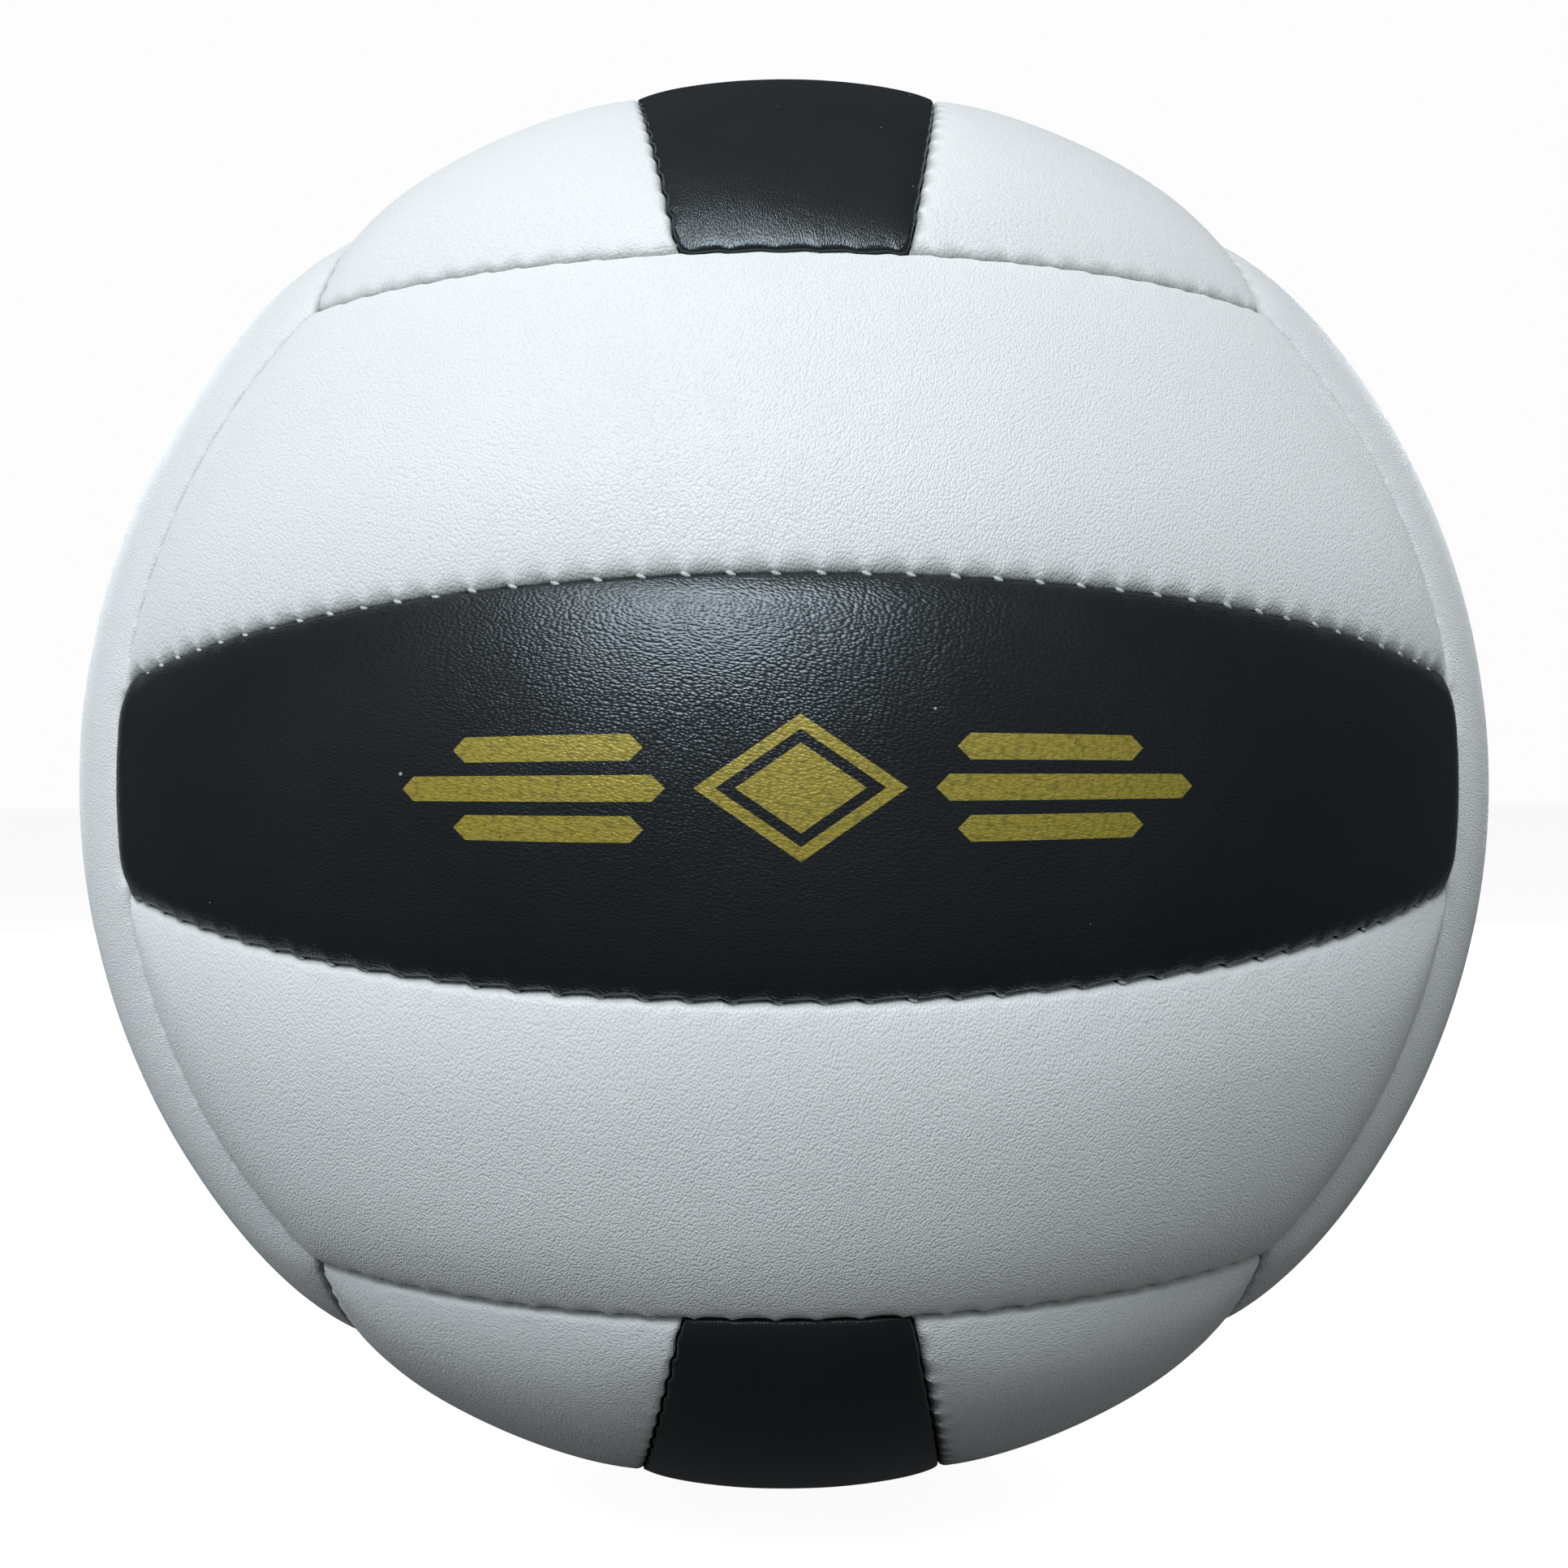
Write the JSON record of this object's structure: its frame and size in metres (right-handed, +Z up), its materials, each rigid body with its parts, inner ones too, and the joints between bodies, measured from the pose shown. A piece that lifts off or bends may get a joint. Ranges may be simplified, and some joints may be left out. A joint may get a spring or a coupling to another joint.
{
  "type": "volleyball",
  "caption": "Stitched indoor volleyball: padded leather strips in crossed sets over an air bladder with a needle valve.",
  "frame": {"origin": "centre of the ball", "axes": "+Z up, the front set of strips faces -Y with its strips along X, and the needle valve faces +Y"},
  "size_m": [0.21, 0.2099, 0.21],
  "materials": {
    "white_leather": "matt",
    "black_leather": "semi-gloss",
    "foam": "matt",
    "lining_cloth": "matt",
    "thread": "waxed",
    "bladder_rubber": "matt",
    "valve_rubber": "satin"
  },
  "bodies": {
    "root": {"front_lower_panel": "white_leather", "front_middle_panel": "black_leather", "front_upper_panel": "white_leather", "back_lower_panel": "white_leather", "back_middle_panel": "black_leather", "back_upper_panel": "white_leather", "right_rear_panel": "white_leather", "right_middle_panel": "black_leather", "right_front_panel": "white_leather", "left_front_panel": "white_leather", "left_middle_panel": "black_leather", "left_rear_panel": "white_leather", "top_right_panel": "white_leather", "top_middle_panel": "black_leather", "top_left_panel": "white_leather", "bottom_left_panel": "white_leather", "bottom_middle_panel": "black_leather", "bottom_right_panel": "white_leather", "front_lower_foam_pad": "foam", "front_middle_foam_pad": "foam", "front_upper_foam_pad": "foam", "back_lower_foam_pad": "foam", "back_middle_foam_pad": "foam", "back_upper_foam_pad": "foam", "right_rear_foam_pad": "foam", "right_middle_foam_pad": "foam", "right_front_foam_pad": "foam", "left_front_foam_pad": "foam", "left_middle_foam_pad": "foam", "left_rear_foam_pad": "foam", "top_right_foam_pad": "foam", "top_middle_foam_pad": "foam", "top_left_foam_pad": "foam", "bottom_left_foam_pad": "foam", "bottom_middle_foam_pad": "foam", "bottom_right_foam_pad": "foam", "front_cloth_lining": "lining_cloth", "back_cloth_lining": "lining_cloth", "right_cloth_lining": "lining_cloth", "left_cloth_lining": "lining_cloth", "top_cloth_lining": "lining_cloth", "bottom_cloth_lining": "lining_cloth", "front_seam_thread": "thread", "back_seam_thread": "thread", "right_seam_thread": "thread", "left_seam_thread": "thread", "top_seam_thread": "thread", "bottom_seam_thread": "thread", "bladder": "bladder_rubber", "balance_patch": "bladder_rubber", "valve_seat": "bladder_rubber", "valve_core": "valve_rubber", "valve_patch": "lining_cloth"}
  },
  "joints": []
}
